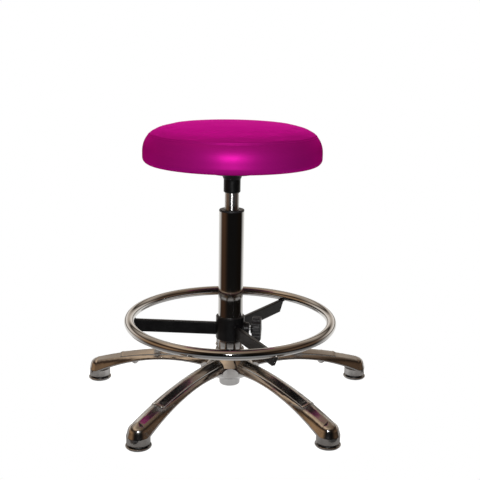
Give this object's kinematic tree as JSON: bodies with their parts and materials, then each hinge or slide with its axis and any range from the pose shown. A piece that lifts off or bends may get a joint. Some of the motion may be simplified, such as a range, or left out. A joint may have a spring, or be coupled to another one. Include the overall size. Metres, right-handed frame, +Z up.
{
  "type": "medical stool",
  "caption": "Round padded swivel stool on a gas lift, with a clamped sliding foot ring, a release lever and a star base on glides.",
  "frame": {"origin": "on the column axis at floor level", "axes": "+Z up along the column, +Y along the leg that points away from the picture's viewer"},
  "size_m": [0.6036, 0.5764, 0.5665],
  "materials": {
    "polished_aluminium": "polished casting",
    "chrome": "mirror plated",
    "steel": "plain machined",
    "black_steel": "satin black powder coat",
    "black_plastic": "satin moulded",
    "brass": "machined",
    "black_rubber": "matt",
    "plywood": "raw board",
    "foam": "open cell foam",
    "magenta_vinyl": "semi gloss coated cloth",
    "black_cloth": "thin woven lining"
  },
  "bodies": {
    "base": {"star_base": "polished_aluminium", "strip_screws": "steel", "column_tube": "chrome", "guide_bush": "black_plastic", "column_floor": "steel", "lower_race": "steel", "tread_strip_1": "polished_aluminium", "tread_strip_2": "polished_aluminium", "tread_strip_3": "polished_aluminium", "tread_strip_4": "polished_aluminium", "tread_strip_5": "polished_aluminium"},
    "rod": {"piston_rod": "steel", "piston": "brass", "upper_race": "steel", "rubber_buffer": "black_rubber", "rod_clip": "steel"},
    "bearing": {"ball_cage": "brass", "bearing_balls": "steel"},
    "seat": {"pressure_tube": "chrome", "rod_guide": "black_plastic", "valve_body": "brass", "taper_socket": "black_steel", "seat_plate": "black_steel", "lever_bracket": "black_steel", "lever_pivot": "steel", "plate_screws": "steel", "tee_nuts": "steel", "seat_board": "plywood", "seat_foam": "foam", "cover_top": "magenta_vinyl", "cover_band": "magenta_vinyl", "dust_cover": "black_cloth"},
    "lever": {"release_lever": "steel", "lever_grip": "black_plastic"},
    "pin": {"release_pin": "steel"},
    "liner": {"clamp_liner": "black_plastic"},
    "ring": {"ring_clamp": "black_steel", "clamp_boss": "black_steel", "foot_ring": "chrome", "ring_arm_1": "black_steel", "ring_arm_2": "black_steel", "ring_arm_3": "black_steel"},
    "pad": {"clamp_pad": "brass"},
    "knob": {"clamp_knob": "black_plastic", "clamp_screw": "steel"},
    "glide_1": {"glide_cap_1": "chrome", "glide_collar_1": "black_plastic"},
    "glide_2": {"glide_cap_2": "chrome", "glide_collar_2": "black_plastic"},
    "glide_3": {"glide_cap_3": "chrome", "glide_collar_3": "black_plastic"},
    "glide_4": {"glide_cap_4": "chrome", "glide_collar_4": "black_plastic"},
    "glide_5": {"glide_cap_5": "chrome", "glide_collar_5": "black_plastic"}
  },
  "joints": [
    {"name": "seat_swivel", "type": "hinge", "parent": "base", "child": "rod", "pos_m": [0, 0, 0.04], "axis": [0, 0, 1], "continuous": true},
    {"name": "bearing_turn", "type": "hinge", "parent": "base", "child": "bearing", "pos_m": [0, 0, 0.04], "axis": [0, 0, 1], "continuous": true},
    {"name": "seat_height", "type": "slide", "parent": "rod", "child": "seat", "axis": [0, 0, 1], "range_m": [0, 0.24]},
    {"name": "lever_lift", "type": "hinge", "parent": "seat", "child": "lever", "pos_m": [0.02, 0.03464, 0.47645], "axis": [0.866, -0.5, 0], "range_deg": [0, 6], "stiffness_Nm_per_rad": 6, "springref_deg": -5.73},
    {"name": "pin_press", "type": "slide", "parent": "seat", "child": "pin", "axis": [0, 0, -1], "range_m": [0, 0.0046]},
    {"name": "ring_height", "type": "slide", "parent": "base", "child": "liner", "axis": [0, 0, 1], "range_m": [-0.015, 0.2]},
    {"name": "ring_turn", "type": "hinge", "parent": "liner", "child": "ring", "pos_m": [0, 0, 0.147], "axis": [0, 0, 1], "continuous": true},
    {"name": "pad_travel", "type": "slide", "parent": "ring", "child": "pad", "axis": [0.993, -0.1184, 0], "range_m": [0, 0.00255]},
    {"name": "knob_turn", "type": "hinge", "parent": "pad", "child": "knob", "pos_m": [0.04965, -0.00592, 0.1445], "axis": [0.993, -0.1184, 0], "range_deg": [0, 720]},
    {"name": "glide_turn_1", "type": "hinge", "parent": "base", "child": "glide_1", "pos_m": [0, 0.2922, 0], "axis": [0, 0, 1], "continuous": true},
    {"name": "glide_turn_2", "type": "hinge", "parent": "base", "child": "glide_2", "pos_m": [-0.2779, 0.0903, 0], "axis": [0, 0, 1], "continuous": true},
    {"name": "glide_turn_3", "type": "hinge", "parent": "base", "child": "glide_3", "pos_m": [-0.17175, -0.23639, 0], "axis": [0, 0, 1], "continuous": true},
    {"name": "glide_turn_4", "type": "hinge", "parent": "base", "child": "glide_4", "pos_m": [0.17175, -0.23639, 0], "axis": [0, 0, 1], "continuous": true},
    {"name": "glide_turn_5", "type": "hinge", "parent": "base", "child": "glide_5", "pos_m": [0.2779, 0.0903, 0], "axis": [0, 0, 1], "continuous": true}
  ],
  "couplings": [
    {"joint": "bearing_turn", "follows": "seat_swivel", "ratio": 0.5},
    {"joint": "pin_press", "follows": "lever_lift", "m_per_rad": 0.042},
    {"joint": "pad_travel", "follows": "knob_turn", "m_per_rad": 0.00019894}
  ]
}
